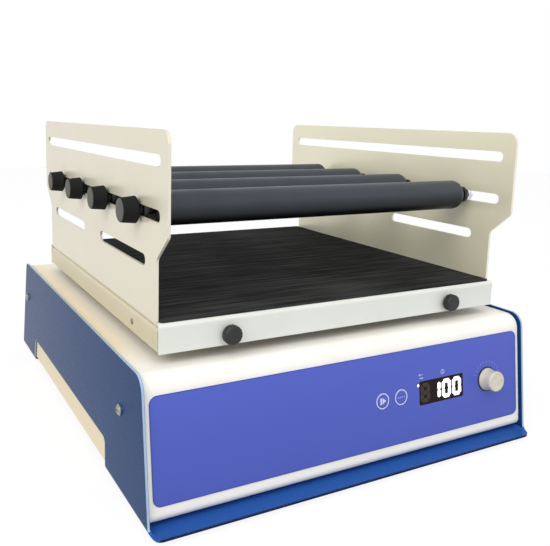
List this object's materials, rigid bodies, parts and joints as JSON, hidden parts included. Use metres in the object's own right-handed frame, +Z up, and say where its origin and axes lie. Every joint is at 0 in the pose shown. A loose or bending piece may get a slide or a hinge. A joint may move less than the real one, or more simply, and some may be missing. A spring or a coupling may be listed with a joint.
{
  "type": "orbital shaker",
  "caption": "Benchtop orbital shaker with a square platform on cranks and a flask carrier whose padded bars slide in slotted side plates.",
  "frame": {"origin": "middle of the footprint, on the bench surface", "axes": "+X to the right seen from the front, +Y to the back, +Z up"},
  "size_m": [0.3648, 0.43, 0.27],
  "materials": {
    "pan_blue": "semi-gloss powder coat",
    "cover_white": "semi-gloss powder coat",
    "carrier_cream": "fine-textured powder coat",
    "overlay_blue": "satin membrane film",
    "display_dark": "smoked clear window",
    "knob_ivory": "moulded",
    "black_plastic": "moulded",
    "black_rubber": "smooth",
    "sleeve_rubber": "smooth sleeve",
    "steel": "bright",
    "aluminium": "machined",
    "iron": "black oxide",
    "bronze": "sintered",
    "board_green": "solder mask"
  },
  "bodies": {
    "base": {"base_pan": "pan_blue", "top_cover": "cover_white", "rear_panel": "cover_white", "casing_screws": "steel", "rubber_feet": "black_rubber", "foot_screws": "steel", "control_overlay": "overlay_blue", "display_window": "display_dark", "display_module": "black_plastic", "control_board": "board_green", "board_spacers": "aluminium", "encoder": "steel", "mains_inlet": "black_plastic", "switch_housing": "black_plastic", "drive_deck": "steel", "deck_pillars": "steel", "main_bearing_housing": "aluminium", "main_bearings": "steel", "idler_housings": "aluminium", "idler_bushes": "bronze", "motor": "iron", "drive_belt": "black_rubber", "power_supply": "aluminium"},
    "drive_crank": {"drive_shaft": "steel", "driven_pulley": "aluminium", "counterweight": "iron"},
    "motor_rotor": {"motor_shaft": "steel", "motor_pulley": "aluminium"},
    "platform": {"platform_pan": "carrier_cream", "platform_hubs": "aluminium", "platform_bearings": "steel", "flange_inserts": "steel", "carrier_tray": "cover_white", "tray_rivets": "steel", "left_side_plate": "carrier_cream", "right_side_plate": "carrier_cream", "rubber_mat": "black_rubber"},
    "speed_control": {"speed_knob": "knob_ivory", "encoder_shaft": "steel"},
    "start_button": {"start_key": "overlay_blue"},
    "mode_button": {"mode_key": "overlay_blue"},
    "power_button": {"power_rocker": "black_plastic"},
    "idler_1": {"idler_crank_1": "steel"},
    "idler_2": {"idler_crank_2": "steel"},
    "idler_3": {"idler_crank_3": "steel"},
    "bar_1": {"bar_rod_1": "steel", "bar_sleeve_1": "sleeve_rubber"},
    "clamp_1": {"clamp_knob_1": "black_plastic"},
    "bar_2": {"bar_rod_2": "steel", "bar_sleeve_2": "sleeve_rubber"},
    "clamp_2": {"clamp_knob_2": "black_plastic"},
    "bar_3": {"bar_rod_3": "steel", "bar_sleeve_3": "sleeve_rubber"},
    "clamp_3": {"clamp_knob_3": "black_plastic"},
    "bar_4": {"bar_rod_4": "steel", "bar_sleeve_4": "sleeve_rubber"},
    "clamp_4": {"clamp_knob_4": "black_plastic"},
    "thumb_1": {"thumb_screw_1": "black_plastic"},
    "thumb_2": {"thumb_screw_2": "black_plastic"}
  },
  "joints": [
    {"name": "crank_spin", "type": "hinge", "parent": "base", "child": "drive_crank", "pos_m": [0, -0.007, 0.08], "axis": [0, 0, 1], "continuous": true},
    {"name": "platform_counterturn", "type": "hinge", "parent": "drive_crank", "child": "platform", "pos_m": [0, -0.015, 0.124], "axis": [0, 0, 1], "continuous": true},
    {"name": "motor_spin", "type": "hinge", "parent": "base", "child": "motor_rotor", "pos_m": [0.085, 0.048, 0.08], "axis": [0, 0, 1], "continuous": true},
    {"name": "idler_spin_1", "type": "hinge", "parent": "base", "child": "idler_1", "pos_m": [0, 0.098, 0.08], "axis": [0, 0, 1], "continuous": true},
    {"name": "idler_spin_2", "type": "hinge", "parent": "base", "child": "idler_2", "pos_m": [-0.09093, -0.0595, 0.08], "axis": [0, 0, 1], "continuous": true},
    {"name": "idler_spin_3", "type": "hinge", "parent": "base", "child": "idler_3", "pos_m": [0.09093, -0.0595, 0.08], "axis": [0, 0, 1], "continuous": true},
    {"name": "bar_slide_1", "type": "slide", "parent": "platform", "child": "bar_1", "axis": [0, 1, 0], "range_m": [-0.041, 0.0614]},
    {"name": "clamp_turn_1", "type": "hinge", "parent": "bar_1", "child": "clamp_1", "pos_m": [-0.165, 0.08, 0.2122], "axis": [-1, 0, 0], "continuous": true},
    {"name": "bar_slide_2", "type": "slide", "parent": "platform", "child": "bar_2", "axis": [0, 1, 0], "range_m": [-0.045, 0.041]},
    {"name": "clamp_turn_2", "type": "hinge", "parent": "bar_2", "child": "clamp_2", "pos_m": [-0.165, 0.012, 0.2122], "axis": [-1, 0, 0], "continuous": true},
    {"name": "bar_slide_3", "type": "slide", "parent": "platform", "child": "bar_3", "axis": [0, 1, 0], "range_m": [-0.047, 0.045]},
    {"name": "clamp_turn_3", "type": "hinge", "parent": "bar_3", "child": "clamp_3", "pos_m": [-0.165, -0.06, 0.2122], "axis": [-1, 0, 0], "continuous": true},
    {"name": "bar_slide_4", "type": "slide", "parent": "platform", "child": "bar_4", "axis": [0, 1, 0], "range_m": [-0.0374, 0.047]},
    {"name": "clamp_turn_4", "type": "hinge", "parent": "bar_4", "child": "clamp_4", "pos_m": [-0.165, -0.134, 0.2122], "axis": [-1, 0, 0], "continuous": true},
    {"name": "thumb_turn_1", "type": "hinge", "parent": "platform", "child": "thumb_1", "pos_m": [-0.106, -0.175, 0.1254], "axis": [0, -1, 0], "continuous": true},
    {"name": "thumb_turn_2", "type": "hinge", "parent": "platform", "child": "thumb_2", "pos_m": [0.106, -0.175, 0.1254], "axis": [0, -1, 0], "continuous": true},
    {"name": "speed_turn", "type": "hinge", "parent": "base", "child": "speed_control", "pos_m": [0.1375, -0.20139, 0.05861], "axis": [0, -0.9924, 0.1227], "continuous": true},
    {"name": "start_press", "type": "slide", "parent": "base", "child": "start_button", "axis": [0, 0.9924, -0.1227], "range_m": [0, 0.0005], "stiffness_N_per_m": 2500, "springref_m": -0.0004},
    {"name": "mode_press", "type": "slide", "parent": "base", "child": "mode_button", "axis": [0, 0.9924, -0.1227], "range_m": [0, 0.0005], "stiffness_N_per_m": 2500, "springref_m": -0.0004},
    {"name": "rocker_tip", "type": "hinge", "parent": "base", "child": "power_button", "pos_m": [0.062, 0.19157, 0.05712], "axis": [-1, 0, 0], "range_deg": [0, 20]}
  ],
  "couplings": [
    {"joint": "platform_counterturn", "follows": "crank_spin", "ratio": -1},
    {"joint": "motor_spin", "follows": "crank_spin", "ratio": 4},
    {"joint": "idler_spin_1", "follows": "crank_spin", "ratio": 1},
    {"joint": "idler_spin_2", "follows": "crank_spin", "ratio": 1},
    {"joint": "idler_spin_3", "follows": "crank_spin", "ratio": 1}
  ]
}
